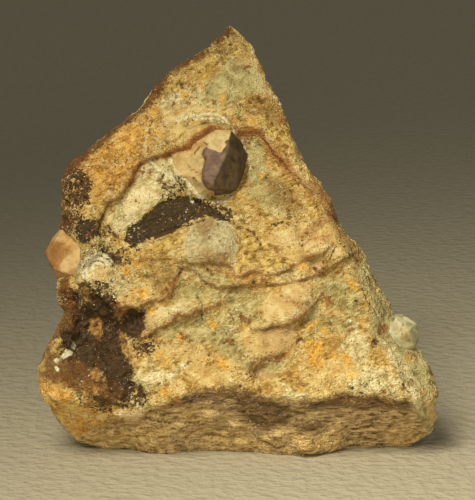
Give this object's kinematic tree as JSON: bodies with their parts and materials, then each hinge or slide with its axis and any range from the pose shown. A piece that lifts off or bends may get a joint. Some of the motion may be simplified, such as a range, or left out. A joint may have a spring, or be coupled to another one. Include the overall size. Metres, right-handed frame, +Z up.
{
  "type": "pseudoleucite crystal specimen",
  "caption": "Hand specimen of weathered host rock with a dark-skinned trapezohedral pseudoleucite crystal on its leaning face; rests on a flat base.",
  "frame": {"origin": "on the flat base, under the middle of the specimen", "axes": "+Z up from the base, -Y towards the broken face that carries the main crystal, +X to that face's right"},
  "size_m": [0.0832, 0.0511, 0.0823],
  "materials": {
    "host_rock": "matte",
    "crystal_skin": "satin",
    "cream_crystal": "matte",
    "grey_crystal": "matte"
  },
  "bodies": {
    "root": {"matrix": "host_rock", "main_crystal": "crystal_skin", "left_crystal": "cream_crystal", "right_crystal": "grey_crystal"}
  },
  "joints": []
}
